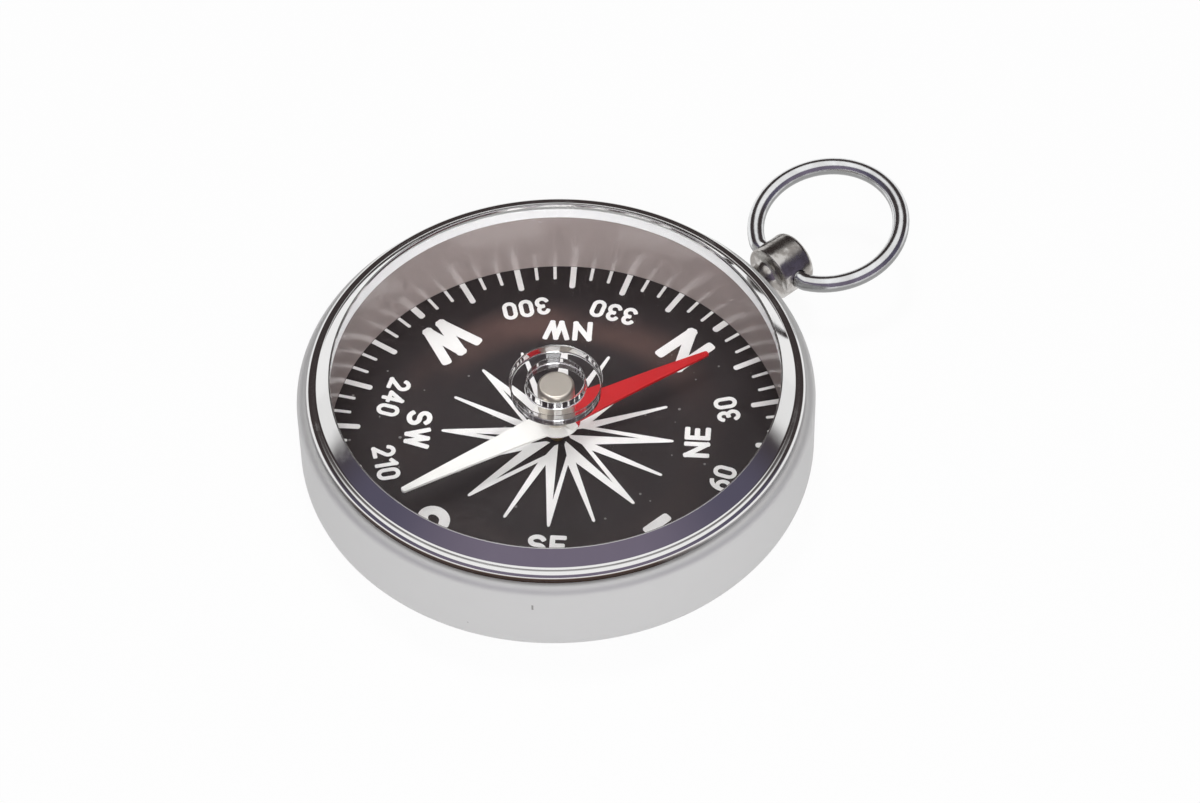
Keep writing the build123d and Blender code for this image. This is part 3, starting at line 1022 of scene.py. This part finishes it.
# Degrees by which a number stands off its mark
PRINT_SHIFTS = {240: -1.5}


def cardinal_label(text, bearing):
    return Label(text, bearing, radius=14.85, height=4.5, stroke=0.93, gap=0.3)


def between_label(text, bearing):
    return Label(text, bearing, radius=12.15, height=2.25, stroke=0.46, gap=0.25, spread=1.08)


def number_label(bearing):
    place = bearing + PRINT_SHIFTS.get(bearing, 0)
    return Label(str(bearing), place, radius=15.05, height=2.05, stroke=0.38, gap=0.21, spread=0.95)


LABELS = [cardinal_label(text, 90 * i) for i, text in enumerate("NESW")]
LABELS += [between_label(text, 45 + 90 * i) for i, text in enumerate(("NE", "SE", "SW", "NW"))]
LABELS += [number_label(bearing) for bearing in range(30, 360, 30) if bearing % 90]


def stroke_end(place, across):
    """Points of a blunt end with rounded corners, from the side that across points to."""
    ahead = Vector((across.y, -across.x))
    points = []
    for i in range(1, END_STEPS):
        turn = pi * i / END_STEPS
        sideways = copysign(abs(cos(turn)) ** END_ROUNDNESS, cos(turn))
        points.append(place + across * sideways + ahead * sin(turn) ** END_ROUNDNESS)
    return points


def stroke_outline(path, width):
    """The outline of a stroke with blunt ends along a smooth path."""
    left = []
    right = []
    for i, place in enumerate(path):
        ahead = path[min(i + 1, len(path) - 1)] - path[max(i - 1, 0)]
        across = Vector((-ahead.y, ahead.x)).normalized() * (width / 2)
        left.append(place + across)
        right.append(place - across)
    end = stroke_end(path[-1], left[-1] - path[-1])
    start = stroke_end(path[0], right[0] - path[0])
    return left + end + right[::-1] + start


def united_plan(tree, start):
    settings = {"operation": "UNION", "solver": "EXACT"}
    return node(tree, "GeometryNodeMeshBoolean", settings, {1: start.out("Seed"), 2: True})


def make_letters():
    shape = bmesh.new()
    for label in LABELS:
        for path in label.strokes():
            slab(shape, stroke_outline(path, label.stroke), DIAL_TOP, DIAL_TOP + PRINT_THICKNESS)
    tree = geometry_tree("dial_letters", {}, united_plan)
    piece = grow("dial_letters", tree, finished("dial_letters", shape), PRINT, {})
    return fit(piece, "case", "black_dial")


make_case()
make_wall()
make_seat()
make_crystal()
make_bezel()
make_cap()
make_needle()
make_pendant()
make_bow()
make_ticks()
make_star()
make_letters()

PLAIN_NODES = {
    "dial_plate": DIAL,
    "pivot_base": BRASS,
    "pivot_pin": STEEL,
    "jewel_cup": JEWEL,
    "pendant_washer": BRASS,
}
for name, finish in PLAIN_NODES.items():
    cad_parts[name].data.materials.clear()
    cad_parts[name].data.materials.append(finish)


# Stage


def make_camera():
    sideways = Vector((cos(VIEW_AZIMUTH), sin(VIEW_AZIMUTH), 0))
    away = Vector((-sin(VIEW_AZIMUTH), cos(VIEW_AZIMUTH), 0))
    forward = away * cos(VIEW_ELEVATION) - Vector((0, 0, sin(VIEW_ELEVATION)))
    level_up = away * sin(VIEW_ELEVATION) + Vector((0, 0, cos(VIEW_ELEVATION)))
    right = sideways * cos(VIEW_ROLL) + level_up * sin(VIEW_ROLL)
    up = level_up * cos(VIEW_ROLL) - sideways * sin(VIEW_ROLL)
    aim = Vector((0, 0, AIM_HEIGHT)) + right * AIM_RIGHT + up * AIM_UP
    lens = bpy.data.cameras.new("camera")
    lens.lens = VIEW_LENS
    lens.sensor_fit = "HORIZONTAL"
    lens.sensor_width = SENSOR_WIDTH
    lens.clip_start = NEAR_CLIP
    camera = bpy.data.objects.new("camera", lens)
    scene.collection.objects.link(camera)
    camera.matrix_world = Matrix.Translation(aim - forward * VIEW_DISTANCE) @ Matrix(
        (
            (right.x, up.x, -forward.x, 0),
            (right.y, up.y, -forward.y, 0),
            (right.z, up.z, -forward.z, 0),
            (0, 0, 0, 1),
        )
    )
    scene.camera = camera


def seen_white(tree):
    """1 for rays that look straight, by reflection or through clear pieces; 0 for rays that only light."""
    path = node(tree, "ShaderNodeLightPath")
    seen = path.out("Is Camera Ray") + path.out("Is Transmission Ray") + path.out("Is Glossy Ray")
    return seen.math("MINIMUM", seen, 1.0)


def make_floor():
    sides = ((-1, -1), (1, -1), (1, 1), (-1, 1))
    mesh = bpy.data.meshes.new("floor")
    corners = [(x * FLOOR_REACH, y * FLOOR_REACH, FLOOR_LEVEL) for x, y in sides]
    mesh.from_pydata(corners, [], [(0, 1, 2, 3)])
    floor = link("floor", mesh)
    finish = new_finish("pale_floor")
    tree = finish.node_tree
    paper = node(tree, "ShaderNodeBsdfDiffuse", None, {"Color": FLOOR_COLOUR})
    white = node(tree, "ShaderNodeEmission", None, {"Color": WHITE, "Strength": 1.0})
    inputs = {0: FLOOR_WHITENESS * seen_white(tree), 1: paper, 2: white}
    mixed = node(tree, "ShaderNodeMixShader", None, inputs)
    node(tree, "ShaderNodeOutputMaterial", None, {"Surface": mixed})
    mesh.materials.append(finish)


def make_world():
    world = bpy.data.worlds.new("studio")
    scene.world = world
    world.use_nodes = True
    tree = world.node_tree
    tree.nodes.clear()
    axes = parted(tree, node(tree, "ShaderNodeTexCoord").out("Generated"))
    rise = axes.out("Z")
    beyond = cos(VIEW_AZIMUTH) * axes.out("Y") - sin(VIEW_AZIMUTH) * axes.out("X")
    low = (1 - rise.ramp(*HORIZON_EDGE)) * beyond.ramp(*HORIZON_SIDE)
    near_room = blend(tree, beyond.ramp(*NEAR_SIDE), NEAR_ROOM_COLOUR, SIDE_ROOM_COLOUR)
    room = blend(tree, beyond.ramp(*HORIZON_SIDE), near_room, FAR_ROOM_COLOUR)
    above = blend(tree, rise.ramp(*CEILING_EDGE), room, CEILING_COLOUR)
    light = blend(tree, low, above, HORIZON_COLOUR)
    soft = node(tree, "ShaderNodeBackground", None, {"Color": light, "Strength": 1.0})
    white = node(tree, "ShaderNodeBackground", None, {"Color": WHITE, "Strength": 1.0})
    seen = node(tree, "ShaderNodeLightPath").out("Is Camera Ray")
    mixed = node(tree, "ShaderNodeMixShader", None, {0: seen, 1: soft, 2: white})
    node(tree, "ShaderNodeOutputWorld", None, {"Surface": mixed})


def make_lamp(name, bearing, elevation, distance, size, power):
    """A square soft lamp that looks at the dial from a bearing clockwise from north. Gloss shows the room
    and not the lamp."""
    lamp = bpy.data.lights.new(name, "AREA")
    lamp.size = size
    lamp.energy = power
    holder = bpy.data.objects.new(name, lamp)
    holder.visible_glossy = False
    scene.collection.objects.link(holder)
    flat = polar(cos(elevation), bearing)
    holder.location = Vector((flat.x, flat.y, sin(elevation))) * distance
    holder.rotation_euler = (-holder.location).to_track_quat("-Z", "Y").to_euler()


make_camera()
make_floor()
make_world()
make_lamp("key_lamp", **KEY_LAMP)
make_lamp("fill_lamp", **FILL_LAMP)

scene.view_settings.view_transform = "Standard"
